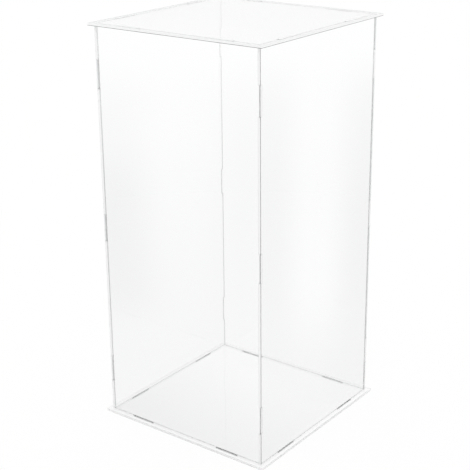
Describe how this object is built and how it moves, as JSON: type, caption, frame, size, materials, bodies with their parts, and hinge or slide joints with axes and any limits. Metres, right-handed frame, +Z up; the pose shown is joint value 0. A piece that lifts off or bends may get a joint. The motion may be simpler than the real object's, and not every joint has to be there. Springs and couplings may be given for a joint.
{
  "type": "clear display case",
  "caption": "Tall square clear acrylic display case: base plate, interlocking walls with finger joints, and a lift-off lid, held together by tabs in slots.",
  "frame": {"origin": "middle of the base plate's underside", "axes": "+Z up, the front wall faces -Y, +X to the right seen from the front"},
  "size_m": [0.25, 0.25, 0.506],
  "materials": {
    "clear_acrylic": "clear polished acrylic sheet with laser-cut edges"
  },
  "bodies": {
    "base": {"base_plate": "clear_acrylic"},
    "walls": {"front_panel": "clear_acrylic", "back_panel": "clear_acrylic", "left_panel": "clear_acrylic", "right_panel": "clear_acrylic"},
    "lid": {"top_plate": "clear_acrylic"}
  },
  "joints": [
    {"name": "cover_lift", "type": "slide", "parent": "base", "child": "walls", "axis": [0, 0, 1], "range_m": [0, 0.53]},
    {"name": "lid_lift", "type": "slide", "parent": "walls", "child": "lid", "axis": [0, 0, 1], "range_m": [0, 0.12]}
  ]
}
